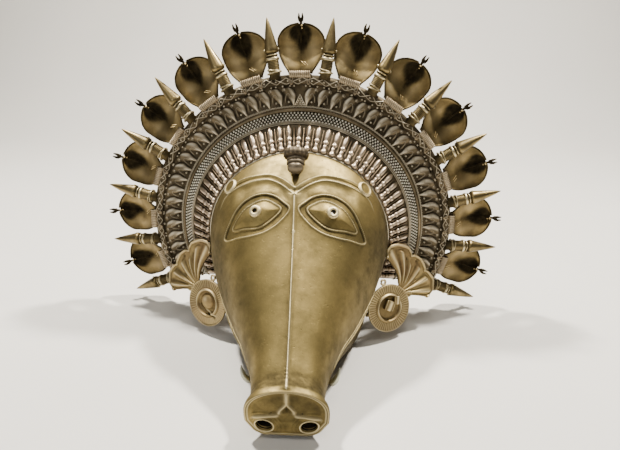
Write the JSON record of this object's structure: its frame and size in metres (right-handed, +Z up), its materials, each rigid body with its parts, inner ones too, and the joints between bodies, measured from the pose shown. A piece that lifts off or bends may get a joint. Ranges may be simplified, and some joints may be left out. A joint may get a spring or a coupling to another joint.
{
  "type": "ritual mask",
  "caption": "Cast brass boar deity mask: hollow long-snouted face with almond eyes, under a ringed crown edged with cobra hoods and spikes.",
  "frame": {"origin": "middle of the bounding box's underside, on the surface that the mask rests on", "axes": "+Z up, -Y the way the snout points, +X to the right as the mask is seen from the front, along its longest extent; left and right in the nodes' names are as seen from the front"},
  "size_m": [0.5434, 0.293, 0.3959],
  "materials": {
    "face_brass": "polished and worn, mottled with darker patina",
    "crown_brass": "dark patina with rubbed highlights",
    "hood_brass": "polished olive brass",
    "spike_brass": "polished with coppery rings",
    "ear_brass": "satin, slightly pinkish",
    "bud_bronze": "near-black patina",
    "tusk_alloy": "pale greenish white metal"
  },
  "bodies": {
    "root": {"face_shell": "face_brass", "crown_halo": "crown_brass", "forehead_bud": "bud_bronze", "ear_left": "ear_brass", "ear_right": "ear_brass", "tusk_left": "tusk_alloy", "tusk_right": "tusk_alloy", "cobra_hood_01": "hood_brass", "cobra_hood_02": "hood_brass", "cobra_hood_03": "hood_brass", "cobra_hood_04": "hood_brass", "cobra_hood_05": "hood_brass", "cobra_hood_06": "hood_brass", "cobra_hood_07": "hood_brass", "cobra_hood_08": "hood_brass", "cobra_hood_09": "hood_brass", "cobra_hood_10": "hood_brass", "cobra_hood_11": "hood_brass", "cobra_hood_12": "hood_brass", "cobra_hood_13": "hood_brass", "spike_01": "spike_brass", "spike_02": "spike_brass", "spike_03": "spike_brass", "spike_04": "spike_brass", "spike_05": "spike_brass", "spike_06": "spike_brass", "spike_07": "spike_brass", "spike_08": "spike_brass", "spike_09": "spike_brass", "spike_10": "spike_brass", "spike_11": "spike_brass", "spike_12": "spike_brass", "spike_13": "spike_brass", "spike_14": "spike_brass"}
  },
  "joints": []
}
